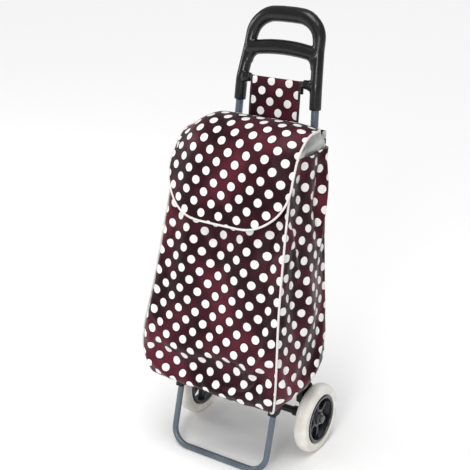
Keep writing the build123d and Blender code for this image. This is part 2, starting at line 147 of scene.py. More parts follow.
def eased(stops, at):
    """A smooth curve through (place, value) stops, read at one place."""
    at = min(max(at, stops[0][0]), stops[-1][0])
    index = max(i for i in range(len(stops) - 1) if stops[i][0] <= at)
    slopes = []
    for i in (index, index + 1):
        low, high = stops[max(i - 1, 0)], stops[min(i + 1, len(stops) - 1)]
        slopes.append((high[1] - low[1]) / (high[0] - low[0]))
    (start, first), (end, last) = stops[index], stops[index + 1]
    span = end - start
    t = (at - start) / span
    return (
        (2 * t**3 - 3 * t**2 + 1) * first
        + (t**3 - 2 * t**2 + t) * span * slopes[0]
        + (3 * t**2 - 2 * t**3) * last
        + (t**3 - t**2) * span * slopes[1]
    )


def ramp(value, low, high):
    """0 below low, 1 above high, smooth between."""
    t = min(max((value - low) / (high - low), 0.0), 1.0)
    return t * t * (3 - 2 * t)


def arc_stops(points):
    """The points of a line with their distance along it, split for eased()."""
    far = [0.0]
    for low, high in zip(points, points[1:]):
        far.append(far[-1] + math.dist(low, high))
    return [list(zip(far, values)) for values in zip(*points)]


def cloth_panel(name, columns, rows, lay):
    """A cut of cloth. lay(across, up) gives a point and the flat place it was cut from."""
    bpy.ops.mesh.primitive_grid_add(x_subdivisions=columns, y_subdivisions=rows, size=2)
    piece = bpy.context.object
    piece.name = name
    piece.data.name = name
    laid = [lay(v.co.x, (v.co.y + 1) / 2) for v in piece.data.vertices]
    flat = piece.data.uv_layers.active.data
    for loop in piece.data.loops:
        flat[loop.index].uv = laid[loop.vertex_index][1]
    for vertex, (point, _) in zip(piece.data.vertices, laid):
        vertex.co = point
    return piece


def tube(name, points, radius, sides=4, swell=None):
    """A round cord or rod along points, its ends closed. swell gives its thickness at each point."""
    line = bpy.data.curves.new(name, "CURVE")
    line.dimensions = "3D"
    spline = line.splines.new("POLY")
    spline.points.add(len(points) - 1)
    for index, (knot, point) in enumerate(zip(spline.points, points)):
        knot.co = (*point, 1)
        knot.radius = swell[index] if swell else 1.0
    line.bevel_depth = radius
    line.bevel_resolution = sides
    line.use_fill_caps = True
    piece = bpy.data.objects.new(name, line)
    bpy.context.scene.collection.objects.link(piece)
    only(piece)
    bpy.ops.object.convert(target="MESH")
    piece = bpy.context.object
    in_edit(piece, merge, face_out)
    smooth(piece, 50)
    return piece


# ---- how finishes are written ----
class Field:
    """A number that varies over a surface. Sums on it become Math nodes."""

    def __init__(self, finish, socket):
        self.finish = finish
        self.socket = socket

    def math(self, operation, *values):
        return self.finish.node("ShaderNodeMath", {"operation": operation}, dict(enumerate(values)))

    def __add__(self, other):
        return self.math("ADD", self, other)

    def __radd__(self, other):
        return self.math("ADD", other, self)

    def __sub__(self, other):
        return self.math("SUBTRACT", self, other)

    def __rsub__(self, other):
        return self.math("SUBTRACT", other, self)

    def __mul__(self, other):
        return self.math("MULTIPLY", self, other)

    def __rmul__(self, other):
        return self.math("MULTIPLY", other, self)

    def __truediv__(self, other):
        return self.math("DIVIDE", self, other)

    def __pow__(self, other):
        return self.math("POWER", self, other)

    def fract(self):
        return self.math("FRACT", self)

    def sine(self):
        return self.math("SINE", self)

    def step(self, low, high):
        """0 below low, 1 above high, smooth between."""
        return self.finish.node(
            "ShaderNodeMapRange",
            {"interpolation_type": "SMOOTHSTEP"},
            {"Value": self, "From Min": low, "From Max": high},
        )


class Finish:
    """A material, with the constants of its shader set as it is made."""

    def __init__(self, name, constants=None):
        self.material = bpy.data.materials.new(name)
        self.material.use_nodes = True
        self.tree = self.material.node_tree
        self.shader = self.tree.nodes["Principled BSDF"]
        for socket, value in (constants or {}).items():
            self.shader.inputs[socket].default_value = value

    def node(self, kind, settings=None, inputs=None, output=0):
        made = self.tree.nodes.new(kind)
        for name, value in (settings or {}).items():
            setattr(made, name, value)
        for name, value in (inputs or {}).items():
            self.feed(made.inputs[name], value)
        return Field(self, made.outputs[output])

    def feed(self, socket, value):
        if isinstance(value, Field):
            self.tree.links.new(value.socket, socket)
        else:
            socket.default_value = value

    def surface(self, **values):
        """Feeds the shader: surface(Base_Color=..., Roughness=...)."""
        for name, value in values.items():
            self.feed(self.shader.inputs[name.replace("_", " ")], value)

    def here(self, kind="Object"):
        return self.node("ShaderNodeTexCoord", output=kind)

    def axes(self, kind="Object"):
        where = self.here(kind)
        return [self.node("ShaderNodeSeparateXYZ", None, {0: where}, axis) for axis in "XYZ"]

    def noise(self, scale, detail=2.0, kind="Object", stretch=(1.0, 1.0, 1.0)):
        where = self.node("ShaderNodeMapping", None, {"Vector": self.here(kind), "Scale": stretch})
        return self.node("ShaderNodeTexNoise", None, {"Vector": where, "Scale": scale, "Detail": detail})

    def mix(self, share, low, high):
        return self.node("ShaderNodeMix", {"data_type": "RGBA"}, {0: share, 6: low, 7: high}, 2)

    def bump(self, height, distance, strength=1.0, under=None):
        inputs = {"Height": height, "Distance": distance, "Strength": strength}
        if under is not None:
            inputs["Normal"] = under
        return self.node("ShaderNodeBump", None, inputs)


def satin(name, light, dark):
    """Printed satin: white dots on a square lattice turned on its corner, over a fine twill, on maroon with
    painted sheen and painted shade in soft clouds.
    """
    finish = Finish(name, {
        "Sheen Weight": 0.02,
        "Sheen Roughness": 0.3,
        "Specular IOR Level": 0.22,
        "Specular Tint": (1.0, 0.62, 0.70, 1),
    })
    u, v, _ = finish.axes("UV")
    painted_light_clouds = finish.noise(7.0, 3.0, "UV")
    # painted sheen and painted shade: lighter maroon clouds stand for satin highlights, darker ones for
    # shade
    maroon_with_painted_sheen = finish.mix(painted_light_clouds.step(0.41, 0.66), dark, light)
    cell = DOT_PITCH / math.sqrt(2)
    wobble = finish.noise(260.0, 1.0, "UV") * 0.0010
    across = ((u + v) / DOT_PITCH).fract() - 0.5
    along = ((u - v) / DOT_PITCH).fract() - 0.5
    distance = (across**2 + along**2) ** 0.5 * cell + wobble
    dot = 1 - distance.step(DOT_RADIUS, DOT_RADIUS + 0.0009)
    rim_starts = distance.step(DOT_RADIUS - 0.0004, DOT_RADIUS + 0.0006)
    rim_ends = 1 - distance.step(DOT_RADIUS + 0.0012, DOT_RADIUS + 0.0042)
    rimmed = finish.mix(rim_starts * rim_ends * 0.9, maroon_with_painted_sheen, DOT_RIM)
    inked = finish.noise(90.0, 2.0, "UV").step(0.3, 0.8)
    colour = finish.mix(dot, rimmed, finish.mix(inked, DOT_WHITE, DOT_GREY))
    twill = ((u * 3 + v * 5) * 1500.0).sine()
    weave = finish.bump(twill, 0.00008, 0.25)
    creases = finish.noise(24.0, 3.0, "UV", (1.0, 0.4, 1.0))
    soft = finish.bump(creases, 0.0055, 0.6, weave)
    finish.surface(Base_Color=colour, Roughness=painted_light_clouds * 0.16 + 0.30, Normal=soft)
    return finish


def lining_cloth():
    finish = Finish("silver_lining", {"Sheen Weight": 0.2, "Specular IOR Level": 0.7})
    u, v, _ = finish.axes("UV")
    painted_light_clouds = finish.noise(18.0, 3.0, "UV")
    # painted highlight and painted shade: the silver is mixed between a lit and a shaded copy in soft clouds
    colour = finish.mix(painted_light_clouds.step(0.3, 0.7), SILVER_PAINTED_SHADE, SILVER_PAINTED_HIGHLIGHT)
    weave = finish.bump((u * 6000.0).sine() * (v * 6000.0).sine(), 0.00006, 0.3)
    finish.surface(
        Base_Color=colour,
        Metallic=painted_light_clouds * 0.2 + 0.25,
        Roughness=painted_light_clouds * 0.2 + 0.30,
        Normal=finish.bump(finish.noise(60.0, 3.0, "UV"), 0.0015, 0.5, weave),
    )
    return finish


def woven(name, light, dark, pitch, rough):
    """Tape or webbing: ribs across the tape, with short floats along it."""
    finish = Finish(name, {"Sheen Weight": 0.3, "Specular IOR Level": 0.3})
    x, y, z = finish.axes()
    turn = 2 * math.pi / pitch
    rib = ((z + y) * turn).sine()
    float_over = (x * turn * 0.7).sine()
    weave = rib * 0.6 + float_over * 0.4
    worn = finish.noise(55.0, 3.0)
    colour = finish.mix(weave.step(-1.0, 1.0) * 0.5 + worn * 0.5, dark, light)
    finish.surface(Base_Color=colour, Roughness=worn * 0.15 + rough, Normal=finish.bump(weave, 0.0003, 0.6))
    return finish


def moulded(name, light, dark, rough, grain, shine=0.5):
    """Moulded plastic: a fine grain, with scuffs a little paler and duller."""
    finish = Finish(name, {"Specular IOR Level": shine})
    scuff = finish.noise(28.0, 5.0).step(0.45, 0.8)
    fine = finish.noise(1500.0, 2.0)
    finish.surface(
        Base_Color=finish.mix(scuff, dark, light),
        Roughness=scuff * 0.14 + fine * 0.06 + rough,
        Normal=finish.bump(fine, grain, 0.5),
    )
    return finish


def coated_steel(name, light, dark, rough, metallic):
    """Powder coat: the orange-peel of the coat and slight shading along the tube."""
    finish = Finish(name, {"Specular IOR Level": 0.5})
    painted_light_clouds = finish.noise(16.0, 4.0)
    peel = finish.noise(700.0, 2.0)
    finish.surface(
        Base_Color=finish.mix(painted_light_clouds.step(0.3, 0.75), dark, light),
        Metallic=painted_light_clouds * 0.1 + metallic,
        Roughness=painted_light_clouds * 0.12 + rough,
        Normal=finish.bump(peel, 0.00025, 0.35),
    )
    return finish


def bright_steel(name, colour, rough):
    finish = Finish(name, {"Specular IOR Level": 0.5})
    painted_light_clouds = finish.noise(120.0, 4.0)
    drawn = finish.noise(900.0, 2.0, "Object", (0.05, 1.0, 1.0))
    shade = [channel * 0.7 for channel in colour[:3]] + [1]
    finish.surface(
        Base_Color=finish.mix(painted_light_clouds, shade, colour),
        Metallic=painted_light_clouds * 0.05 + 0.93,
        Roughness=drawn * 0.15 + rough,
        Normal=finish.bump(drawn, 0.0001, 0.4),
    )
    return finish


def foam():
    """Foam tyre: creamy, mottled, with the fine skin of moulded foam."""
    finish = Finish("foam_tyre", {"Specular IOR Level": 0.25, "Sheen Weight": 0.1})
    mottle = finish.noise(30.0, 5.0)
    pores = finish.node("ShaderNodeTexVoronoi", None, {"Vector": finish.here(), "Scale": 420.0})
    fine = finish.noise(900.0, 2.0)
    colour = finish.mix(mottle.step(0.35, 0.7), CREAM_SHADE, CREAM)
    skin = finish.bump(fine, 0.0004, 0.4, finish.bump(pores, 0.0006, 0.5))
    finish.surface(Base_Color=colour, Roughness=mottle * 0.15 + 0.68, Normal=skin)
    return finish


def board_finish():
    finish = Finish("base_board", {"Specular IOR Level": 0.3})
    fibre = finish.noise(240.0, 5.0, "Object", (1.0, 0.15, 1.0))
    finish.surface(
        Base_Color=finish.mix(fibre.step(0.3, 0.7), (0.05, 0.05, 0.055, 1), (0.12, 0.12, 0.125, 1)),
        Roughness=fibre * 0.2 + 0.6,
        Normal=finish.bump(fibre, 0.0004, 0.5),
    )
    return finish


# lit and shaded maroon: painted sheen and painted shade for the satin
MAROON_PAINTED_SHEEN = (0.104, 0.014, 0.025, 1)
MAROON_PAINTED_SHADE = (0.011, 0.002, 0.004, 1)
DOT_WHITE = (0.86, 0.85, 0.84, 1)
DOT_GREY = (0.78, 0.76, 0.75, 1)
DOT_RIM = (0.012, 0.004, 0.006, 1)
# lit and shaded silver: painted highlight and painted shade for the lining
SILVER_PAINTED_HIGHLIGHT = (0.76, 0.77, 0.75, 1)
SILVER_PAINTED_SHADE = (0.24, 0.25, 0.24, 1)
CREAM = (0.90, 0.89, 0.85, 1)
CREAM_SHADE = (0.76, 0.73, 0.66, 1)
BLACK = (0.012, 0.012, 0.013, 1)
BLACK_SHADE = (0.005, 0.005, 0.006, 1)
dotted_satin = satin("dotted_satin", MAROON_PAINTED_SHEEN, MAROON_PAINTED_SHADE)
lining = lining_cloth()
white_cord = woven("white_piping", (0.86, 0.84, 0.82, 1), (0.62, 0.58, 0.56, 1), 0.0022, 0.55)
black_tape = woven("black_webbing", (0.016, 0.015, 0.016, 1), (0.005, 0.005, 0.005, 1), 0.0024, 0.6)
handle_plastic = moulded("handle_plastic", BLACK, BLACK_SHADE, 0.22, 0.00003, 0.42)
black_plastic = moulded("black_plastic", (0.011, 0.011, 0.012, 1), (0.005, 0.005, 0.005, 1), 0.40, 0.00006,
                        0.3)
hub_plastic = moulded("hub_plastic", (0.040, 0.042, 0.050, 1), (0.018, 0.019, 0.024, 1), 0.20, 0.00003, 0.7)
nylon = moulded("grey_nylon", (0.50, 0.50, 0.48, 1), (0.36, 0.36, 0.35, 1), 0.42, 0.00012)
grey_coat = coated_steel("grey_coat", (0.150, 0.185, 0.220, 1), (0.095, 0.120, 0.148, 1), 0.28, 0.35)
black_coat = coated_steel("black_coat", (0.020, 0.021, 0.022, 1), (0.010, 0.010, 0.011, 1), 0.33, 0.1)
zinc = bright_steel("zinc_plate", (0.66, 0.66, 0.64, 1), 0.24)
dark_zinc = bright_steel("dark_zinc", (0.16, 0.16, 0.16, 1), 0.32)
foam_tyre = foam()
board = board_finish()


# ---- hard parts that keep their CAD shape ----
def dress(name, finish):
    node = nodes[name]
    node.data.materials.clear()
    node.data.materials.append(finish.material)


for node_name in ("upright_left", "upright_right", "cross_bar_lower", "cross_bar_upper", "stand"):
    dress(node_name, grey_coat)
for node_name in ("axle", "hanger_rod", "axle_washers", "sleeve_screws", "handle_screws"):
    dress(node_name, zinc)
for node_name in ("bush_left", "bush_right", "axle_spacers"):
    dress(node_name, nylon)
dress("axle_sleeve", black_coat)
dress("base_board", board)


# ---- hard parts with their edges eased ----
def eased_edges(node_name, width, finish, body, slot, angle=32.0):
    """A copy of a CAD part with its sharp edges rounded over."""
    piece = copied(nodes[node_name], f"{node_name}_eased")
    in_edit(piece, merge, lambda: bpy.ops.mesh.dissolve_limited(angle_limit=math.radians(0.6)))
    with_modifier(
        piece, "BEVEL", width=width, segments=2, limit_method="ANGLE",
        angle_limit=math.radians(angle), use_clamp_overlap=True,
    )
    smooth(piece, 35)
    paint(piece, finish)
    place(piece, body, slot, node_name)
    return piece


for side_name in ("left", "right"):
    eased_edges(f"bracket_{side_name}", 0.0012, black_plastic, "frame", "black_plastic")
    eased_edges(f"stand_corner_{side_name}", 0.0012, black_plastic, "stand", "black_plastic")
eased_edges("axle_caps", 0.0008, dark_zinc, "frame", "zinc")
eased_edges("stand_pivots", 0.0007, dark_zinc, "frame", "zinc")
eased_edges("stand_pivot_nuts", 0.0006, dark_zinc, "frame", "zinc")
eased_edges("bracket_bolts", 0.0006, dark_zinc, "frame", "zinc")
eased_edges("bracket_nuts", 0.0005, dark_zinc, "frame", "zinc")


# ---- handle: one smooth moulding ----
def on_handle(x, rise):
    """A point of the handle's plane, at a height above its shoulders."""
    foot_y, foot_z = 0.1088, 0.7701
    return Vector((x, foot_y + math.sin(HANDLE_LEAN) * rise, foot_z + math.cos(HANDLE_LEAN) * rise))


def handle_arch():
    """The arched grip: it thickens from the legs to its middle."""
    corner, top = 0.050, 0.1370
    leg_x = 0.0772
    half = [(0.0797, 0.062, 0.0112), (0.0792, 0.074, 0.0118), (0.0783, top - corner, 0.0124)]
    for step in range(1, 9):
        turn = math.pi / 2 * step / 8
        half.append((
            leg_x - corner * (1 - math.cos(turn)),
            top - corner * (1 - math.sin(turn)),
            0.0124 + 0.0038 * ramp(turn, 0.1, 1.3),
        ))
    half.append((0.013, top + 0.0006, 0.0163))
    path = half + [(-x, rise, radius) for x, rise, radius in reversed(half)]
    line = [on_handle(x, rise) for x, rise, _ in path]
    return tube("handle_arch", line, 1.0, 10, [radius for _, _, radius in path])


def handle_crossbar():
    """The lower grip: bowed up, thickest in its middle."""
    steps = [step / 12 for step in range(-12, 13)]
    line = [on_handle(0.080 * share, 0.0715 - 0.0080 * share**2) for share in steps]
    return tube("handle_crossbar", line, 1.0, 10, [0.0152 - 0.0022 * abs(share) ** 3 for share in steps])


def handle_corner(side):
    """What rounds the opening under the crossbar."""
    round_off = 0.030
    centre_x, centre_rise = 0.0806 - round_off, 0.0650 - round_off
    turns = [math.pi / 2 * step / 8 for step in range(9)]
    line = [
        on_handle(side * (centre_x + round_off * math.cos(turn)), centre_rise + round_off * math.sin(turn))
        for turn in turns
    ]
    return tube("handle_corner", line, 0.0116, 8)


def handle_moulding():
    parts = [copied(nodes["handle"], "handle_moulding"), handle_arch(), handle_crossbar()]
    parts += [handle_corner(1), handle_corner(-1)]
    handle = joined("handle_moulding", parts)
    in_edit(handle, merge)
    with_modifier(handle, "REMESH", mode="VOXEL", voxel_size=0.0014, adaptivity=0.0)
    with_modifier(handle, "SMOOTH", factor=0.5, iterations=14)
    smooth(handle)
    paint(handle, handle_plastic)
    place(handle, "frame", "handle_plastic", "handle")


handle_moulding()


# ---- wheels ----
SPOKES = 6
SPOKE_LONG = 0.0345
SPOKE_WIDE = 0.0125
TYRE_BORE = 0.052


def spun(name, section, centre, steps=96):
    """A closed section of (out, radius) points turned round an axle along X."""
    bpy.ops.mesh.primitive_circle_add(vertices=len(section), radius=0.01, location=(0, 0, 0))
    piece = bpy.context.object
    piece.name = name
    piece.data.name = name
    for vertex, (out, radius) in zip(piece.data.vertices, section):
        vertex.co = centre + Vector((out, 0, radius))

    def turn():
        bpy.ops.mesh.spin(steps=steps, angle=2 * math.pi, center=centre, axis=(1, 0, 0))

    in_edit(piece, turn, merge, face_out)
    return piece


def tyre(side_name, centre):
    low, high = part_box(f"tyre_{side_name}")
    outer = (high.z - low.z) / 2
    half_width = (high.x - low.x) / 2
    middle, half_depth = (outer + TYRE_BORE) / 2, (outer - TYRE_BORE) / 2
    section = []
    for step in range(44):
        turn = 2 * math.pi * step / 44
        power = 0.80 if math.sin(turn) > 0 else 0.34
        out = math.copysign(abs(math.cos(turn)) ** 0.74, math.cos(turn))
        rise = math.copysign(abs(math.sin(turn)) ** power, math.sin(turn))
        section.append((half_width * out, middle + half_depth * rise))
    piece = spun(f"tyre_{side_name}_foam", section, centre)
    smooth(piece, 60)
    paint(piece, foam_tyre)
    place(piece, f"wheel_{side_name}", "foam_tyre", f"tyre_{side_name}")


def spoke(centre):
    """One spoke, standing up from the boss: waisted, with a rib along it."""
    bpy.ops.mesh.primitive_cube_add(size=1, location=centre + Vector((0, 0, 0.0292)))
    piece = bpy.context.object
    bpy.ops.transform.resize(value=(0.013, SPOKE_WIDE, SPOKE_LONG))
    bpy.ops.object.transform_apply(location=True, rotation=True, scale=True)
    in_edit(piece, lambda: bpy.ops.mesh.subdivide(number_cuts=4))
    for vertex in piece.data.vertices:
        along = (vertex.co.z - centre.z - 0.012) / SPOKE_LONG
        waist = 1 - 0.42 * math.sin(math.pi * min(max(along, 0.0), 1.0))
        vertex.co.y = centre.y + (vertex.co.y - centre.y) * waist
        crown = 1 - abs(vertex.co.y - centre.y) / (SPOKE_WIDE / 2)
        vertex.co.x = centre.x + (vertex.co.x - centre.x) * (0.72 + 0.28 * max(crown, 0.0))
    return piece


def hub(side_name, centre):
    rim = spun(
        f"hub_{side_name}_moulding",
        [(-0.0120, 0.0455), (-0.0150, 0.0462), (-0.0154, 0.0480), (-0.0154, 0.0520), (-0.0142, 0.0528),
         (-0.0132, 0.0519), (0.0132, 0.0519), (0.0142, 0.0528), (0.0154, 0.0520), (0.0154, 0.0480),
         (0.0150, 0.0462), (0.0120, 0.0455), (0.0060, 0.0478), (-0.0060, 0.0478)],
        centre,
    )
    boss = spun(
        "hub_boss",
        [(-0.0120, 0.0083), (-0.0120, 0.0120), (-0.0108, 0.0134), (0.0108, 0.0134), (0.0120, 0.0120),
         (0.0120, 0.0083)],
        centre,
        48,
    )
    step = spun(
        "hub_step",
        [(-0.0070, 0.0130), (-0.0070, 0.0185), (-0.0055, 0.0200), (0.0055, 0.0200), (0.0070, 0.0185),
         (0.0070, 0.0130)],
        centre,
        48,
    )
    first = spoke(centre)
    parts = [rim, boss, step, first]
    for number in range(1, SPOKES):
        twin = copied(first, "hub_spoke")
        turn = Matrix.Rotation(2 * math.pi * number / SPOKES, 4, "X")
        twin.data.transform(Matrix.Translation(centre) @ turn @ Matrix.Translation(-centre))
        parts.append(twin)
    piece = joined(f"hub_{side_name}_moulding", parts)
    with_modifier(
        piece, "BEVEL", width=0.0007, segments=2, limit_method="ANGLE", angle_limit=math.radians(40),
    )
    smooth(piece, 40)
    paint(piece, hub_plastic)
    place(piece, f"wheel_{side_name}", "black_plastic", f"hub_{side_name}")


for side_name in ("left", "right"):
    low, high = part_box(f"tyre_{side_name}")
    wheel_centre = (low + high) / 2
    tyre(side_name, wheel_centre)
    hub(side_name, wheel_centre)


# ---- cloth ----
def wrinkle(x, y, z, size, seed):
    """Uneven cloth, about -1 to 1, the same on every run."""
    return noise.noise(Vector((x, y, z)) / size + Vector((seed, seed * 2.3, 0)))


# ---- lid flap: a domed tongue that hangs over the front ----
flap_y, flap_z = arc_stops(FLAP_SIDE)
FLAP_LENGTH = flap_y[-1][0]
FLAP_SEAM_IN = 0.036
LEFT_DROOP = 0.038
RIGHT_DROOP = 0.008
FLAP_CROWN = 0.0040
FLAP_NOSE_Y = -0.052
FLAP_TIP_Z = 0.515


def flap_line(far):
    return Vector((0, eased(flap_y, far), eased(flap_z, far)))


def flap_out(far):
    """Square to the flap, outwards, in the side view."""
    ahead = flap_line(min(far + 0.004, FLAP_LENGTH)) - flap_line(max(far - 0.004, 0.0))
    return Vector((0, ahead.z, -ahead.y)).normalized()


def flap_width(far):
    """Half width of the cut at a distance from the seam."""
    past = far - (FLAP_LENGTH - FLAP_TIP_ROUND)
    if past <= 0:
        return FLAP_X - FLAP_SEAM_IN * (1 - ramp(far, 0.0, 0.090)) ** 1.5
    return FLAP_X - FLAP_TIP_ROUND + math.sqrt(max(FLAP_TIP_ROUND**2 - past**2, 0.0))


def lay_flap(across, down):
    far = FLAP_LENGTH * (1 - down)
    x = flap_width(far) * across
    shoulder = ramp(far, -0.01, 0.06)
    droop_left = LEFT_DROOP * ramp(-x, 0.070, 0.160) ** 1.2 * (1 - 0.5 * ramp(far, 0.15, 0.25))
    droop_right = RIGHT_DROOP * ramp(x, 0.090, 0.150)
    crown = FLAP_CROWN * (1 - (x / FLAP_X) ** 2)
    puff = 0.0020 * wrinkle(x, far, 0, 0.055, 11) + 0.0012 * wrinkle(x, far * 0.7, 0, 0.028, 13)
    raised = ramp(far, 0.02, 0.13)
    offset = (crown + puff) * raised - (droop_left + droop_right) * shoulder
    point = flap_line(far) + flap_out(far) * offset
    point.x = x
    return point, (x, far)


def flap_edge(share):
    """The flap's free edge, from one rear corner round the tip to the other."""
    if share < 0.42:
        return lay_flap(1, 1 - share / 0.42)[0]
    if share > 0.58:
        return lay_flap(-1, (share - 0.58) / 0.42)[0]
    return lay_flap(1 - 2 * (share - 0.42) / 0.16, 0)[0]


def lid_flap():
    piece = cloth_panel("flap_cloth", 72, 84, lay_flap)
    paint(piece, dotted_satin, lining)
    with_modifier(piece, "SOLIDIFY", thickness=0.0022, offset=-1.0, material_offset=1, material_offset_rim=0)
    smooth(piece, 80)
    place(piece, "flap", "satin", "flap")
    return piece


def flap_cord():
    points = [flap_edge(step / 220) for step in range(221)]
    piece = tube("flap_piping_cord", points, 0.0022)
    paint(piece, white_cord)
    place(piece, "flap", "piping", "flap_piping")
    return piece


flap = lid_flap()
flap_piping = flap_cord()


# ---- bag: five cut panels sewn at their edges ----
RIM_PRINT = 0.5146
LEFT_BULGE = 0.011
CREASE_UP = 0.268
FOLD_DEEP = 0.0095
WAVE_DEEP = 0.0046
RIDGE_OUT = 0.0140
RIPPLE_OUT = 0.0045
FILL_OUT = 0.0060
FURTHEST_SETTLE = 0.012
SETTLE_FRAMES = 22


def back_y(z):
    return UPRIGHT_FOOT[0] + (z - UPRIGHT_FOOT[1]) * LEAN_SLOPE - BAG_BEHIND


def up_the_bag(t):
    """Height, how far the foot tucks under, and the length of cloth, at a share of the way up."""
    turn_share = 0.05
    if t < turn_share:
        turn = math.pi / 2 * t / turn_share
        tuck = FLOOR_ROUND * (1 - math.sin(turn))
        return BAG_FLOOR + FLOOR_ROUND * (1 - math.cos(turn)), tuck, FLOOR_ROUND * turn
    share = (t - turn_share) / (1 - turn_share)
    rise = share * (BAG_RIM - BAG_FLOOR - FLOOR_ROUND)
    return BAG_FLOOR + FLOOR_ROUND + rise, 0.0, FLOOR_ROUND * math.pi / 2 + rise * 1.015


def foot_hang(point):
    """The foot of the bag hangs lower in front of the stand's corners."""
    low = 1 - ramp(point.z, 0.195, 0.27)
    point.z -= 0.0125 * low * (1 - ramp(point.y, -0.142, -0.108))
    return point


def seam_corner(side, z, tuck):
    """Where the front and side panels are sewn together."""
    half = eased(BAG_HALF, z) - SEAM_TUCK * 0.8 - tuck
    half += (LEFT_BULGE if side < 0 else 0.0) * math.exp(-(((z - 0.255) / 0.085) ** 2))
    front = eased(BAG_FRONT, z) + SEAM_BACK[side] * (1 - 0.7 * tuck / FLOOR_ROUND) + tuck
    return foot_hang(Vector((side * half, front, z)))


def rear_corner(side, z, tuck):
    half = eased(BAG_HALF, z) - 0.006 - tuck + 0.006 * (1 - ramp(z, 0.32, 0.52))
    return Vector((side * half, back_y(z) - 0.006 - tuck * 0.3, z))


def measured(lay, rows):
    """The same panel, its print measured down from the rim along the cloth, folds and all."""
    lines = {}

    def line(across):
        if across not in lines:
            points = [lay(across, step / rows)[0] for step in range(rows + 1)]
            lines[across] = [math.dist(low, high) for low, high in zip(points, points[1:])]
        return lines[across]

    def lay_measured(across, up):
        point, flat = lay(across, up)
        down = sum(line(round(across, 5))[round(up * rows):])
        return point, (flat[0], RIM_PRINT - down)

    return lay_measured


def lay_front(across, up):
    z, tuck, cloth_up = up_the_bag(up)
    corner = seam_corner(1 if across > 0 else -1, z, tuck)
    x = corner.x * abs(across)
    free = 1 - abs(across) ** (6 if across > 0 else 13)
    flat_front = eased(BAG_FRONT, z) + tuck
    inner = ramp(1 - abs(across), 0.0, 0.25)
    crease = CREASE_UP + 0.010 * across + 0.004 * math.sin(7 * across)
    above, below = z - crease, crease - z
    if above >= 0:
        fold = math.exp(-((above / 0.045) ** 2))
    else:
        fold = math.exp(-((below / 0.008) ** 2)) - 0.75 * math.exp(-(((below - 0.020) / 0.018) ** 2))
    fall = ramp(z, 0.29, 0.42) * (1 - 0.75 * ramp(z, 0.52, 0.585))
    swell = (corner.y - flat_front) * free + FOLD_DEEP * fold * inner
    swell += WAVE_DEEP * math.cos(2 * math.pi * (x - 0.062) / 0.135) * fall * inner
    drape = 0.0024 * wrinkle(x * 1.8, 0, z * 0.6, 0.06, 3) * inner
    drape += 0.0022 * wrinkle(x + z * 0.5, 0, z * 0.8, 0.035, 9) * inner
    return Vector((x, corner.y - swell + drape, corner.z)), (x, cloth_up)


def lay_back(across, up):
    z, tuck, cloth_up = up_the_bag(up)
    corner = rear_corner(1, z, tuck)
    x = corner.x * across
    free = 1 - abs(across) ** 6
    ripple = 0.0020 * wrinkle(x, 1, z, 0.05, 5) * free
    return Vector((x, corner.y + 0.0045 * free * ramp(z, 0.19, 0.22) + ripple, z)), (x, cloth_up)


def ridge_depth(z):
    """How far back the side's main crease lies at a height."""
    return eased(((0.18, -0.145), (0.24, -0.108), (0.30, -0.060), (0.373, -0.015), (0.431, 0.006),
                  (0.512, 0.036), (0.60, 0.066)), z)


def lay_side(side):
    def lay(along, up):
        share = (along + 1) / 2
        z, tuck, cloth_up = up_the_bag(up)
        front, rear = seam_corner(side, z, tuck), rear_corner(side, z, tuck)
        point = front.lerp(rear, share)
        fixed = ramp(share, 0.0, 0.10) * ramp(1 - share, 0.0, 0.10)
        ridge = min(ridge_depth(z), rear.y - 0.004)
        at_ridge = min(max((ridge - front.y) / (rear.y - front.y), 0.04), 0.98)
        if share < at_ridge:
            roof = share / at_ridge
        else:
            roof = (1 - share) / (1 - at_ridge)
        fade = ramp(z, 0.185, 0.23) * (1 - 0.55 * ramp(z, 0.50, 0.64))
        swell = RIDGE_OUT * roof * fade
        ripple = math.sin(share * 4.2 * math.pi + 0.6 + 3 * (z - 0.4))
        swell += RIPPLE_OUT * ripple * fixed * ramp(z, 0.27, 0.36)
        swell += FILL_OUT * ramp(z, 0.19, 0.25) * fixed * (1 - ramp(z, 0.5, 0.66))
        swell += 0.0030 * wrinkle(point.y * 1.5, side, z * 0.5, 0.04, 7 + side) * fixed
        swell *= 1 - tuck / FLOOR_ROUND
        point.x += side * swell
        return point, (point.y - 0.004, cloth_up + 0.004)

    return lay


def lay_floor(across, back):
    """The floor panel, between the feet of the four walls."""
    sides = {}
    for side in (1, -1):
        sides[side] = lay_side(side)(2 * back - 1, 0)[0]
    front, rear = lay_front(across, 0)[0], lay_back(across, 0)[0]
    share = (across + 1) / 2
    ruled = sides[-1].lerp(sides[1], share) + front.lerp(rear, back)
    corners = lay_front(-1, 0)[0].lerp(lay_front(1, 0)[0], share).lerp(
        lay_back(-1, 0)[0].lerp(lay_back(1, 0)[0], share), back
    )
    point = ruled - corners
    sag = 0.0018 * math.sin(math.pi * share) * math.sin(math.pi * back)
    return point + Vector((0, 0, sag)), (point.x, point.y)


def seam_group(piece, sewn):
    """Marks the cloth at the panel's sewn edges, which holds still when it is draped."""
    group = piece.vertex_groups.new(name="sewn")
    for vertex, (across, up) in zip(piece.data.vertices, sewn):
        hold = max(1 - (1 - abs(across)) / 0.07, 0.0, 1 - up / 0.06, 1 - (1 - up) / 0.03)
        if hold > 0:
            group.add([vertex.index], min(hold, 1.0), "REPLACE")


